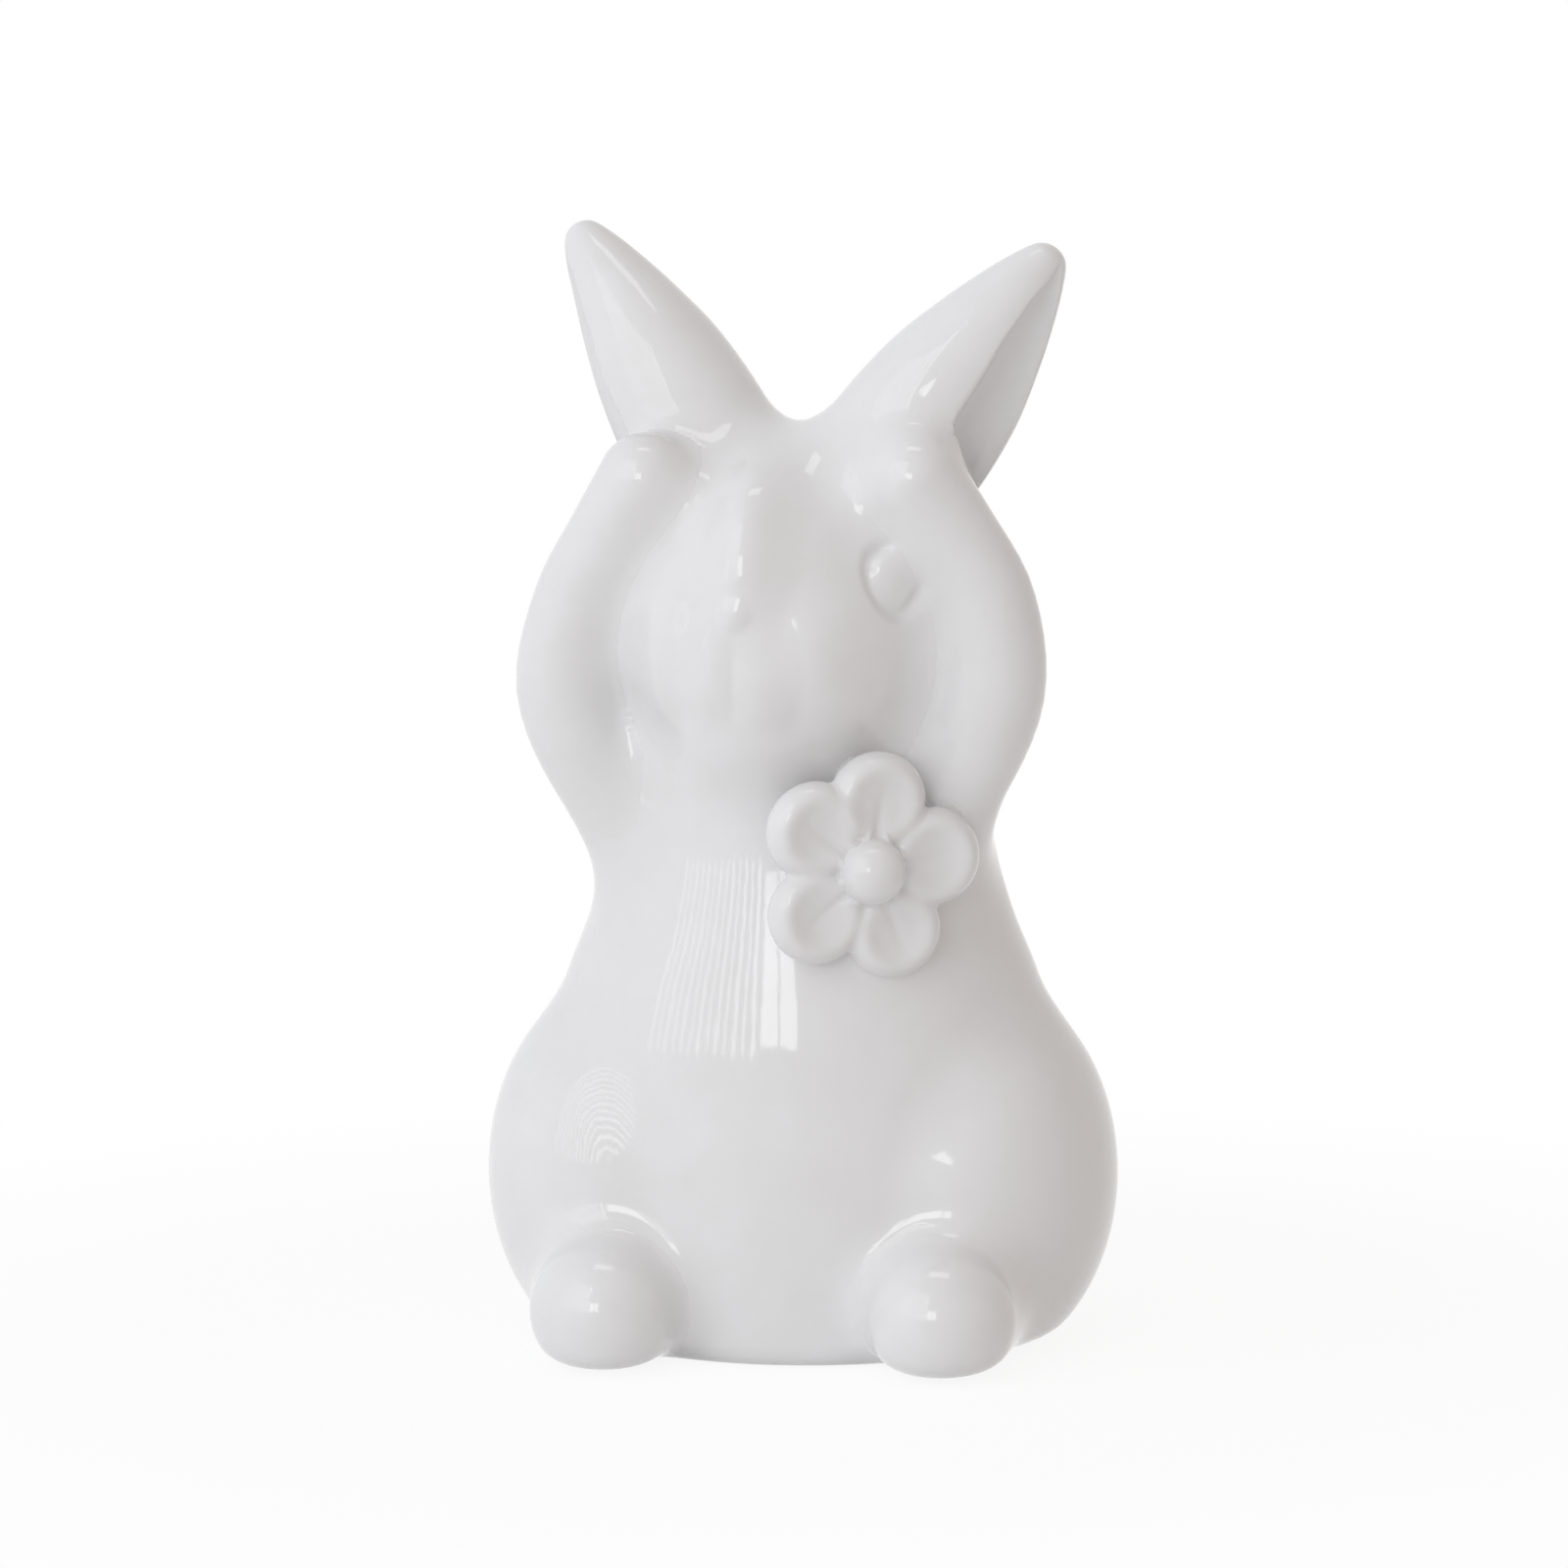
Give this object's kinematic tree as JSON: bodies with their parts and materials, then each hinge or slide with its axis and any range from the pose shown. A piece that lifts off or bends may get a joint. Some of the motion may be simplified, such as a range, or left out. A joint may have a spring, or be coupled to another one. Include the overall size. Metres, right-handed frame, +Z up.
{
  "type": "ceramic rabbit figurine",
  "caption": "Standing-up glazed ceramic rabbit figurine with raised arms, paws at its ears and a flower on its chest.",
  "frame": {"origin": "middle of the footprint of the whole figurine, on the plane that its foot ring and feet stand on", "axes": "+Z up through the head, -Y the way the rabbit looks, +X towards the rabbit's own left, where the flower is"},
  "size_m": [0.0984, 0.085, 0.1731],
  "materials": {
    "white_glaze": "glossy"
  },
  "bodies": {
    "root": {"torso_shell": "white_glaze", "head_shell": "white_glaze", "left_ear": "white_glaze", "right_ear": "white_glaze", "left_arm": "white_glaze", "right_arm": "white_glaze", "left_foot": "white_glaze", "right_foot": "white_glaze", "tail": "white_glaze", "upper_petal": "white_glaze", "upper_inner_petal": "white_glaze", "lower_inner_petal": "white_glaze", "lower_outer_petal": "white_glaze", "upper_outer_petal": "white_glaze", "flower_centre": "white_glaze"}
  },
  "joints": []
}
